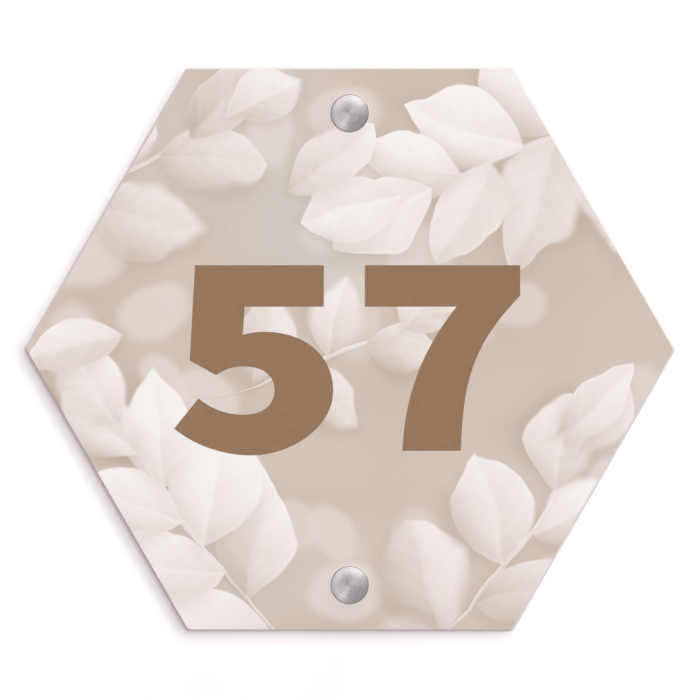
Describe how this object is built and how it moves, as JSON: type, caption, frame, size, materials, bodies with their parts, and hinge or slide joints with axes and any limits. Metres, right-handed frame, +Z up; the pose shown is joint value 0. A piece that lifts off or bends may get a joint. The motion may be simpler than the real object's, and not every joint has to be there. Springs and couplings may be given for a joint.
{
  "type": "door number plate",
  "caption": "Flat hexagonal plate with a printed face, held off a door or wall by round metal stand-offs with turned caps at its top and bottom edges.",
  "frame": {"origin": "on the surface of the door or wall, in the plane of both barrels' bases, midway between the two fixings", "axes": "+Z up, -Y out of the door towards the viewer, +X to the viewer's right"},
  "size_m": [0.1994, 0.0396, 0.1732],
  "materials": {
    "printed_sheet": "white acrylic sheet with a beige and white print on its front",
    "turned_metal": "satin, with fine turning marks",
    "soft_washer": "milky soft plastic",
    "plated_screw": "bright zinc plating"
  },
  "bodies": {
    "root": {"plate": "printed_sheet", "upper_cap": "turned_metal", "lower_cap": "turned_metal", "upper_barrel": "turned_metal", "lower_barrel": "turned_metal", "upper_front_washer": "soft_washer", "lower_front_washer": "soft_washer", "upper_rear_washer": "soft_washer", "lower_rear_washer": "soft_washer", "upper_wall_screw": "plated_screw", "lower_wall_screw": "plated_screw"}
  },
  "joints": []
}
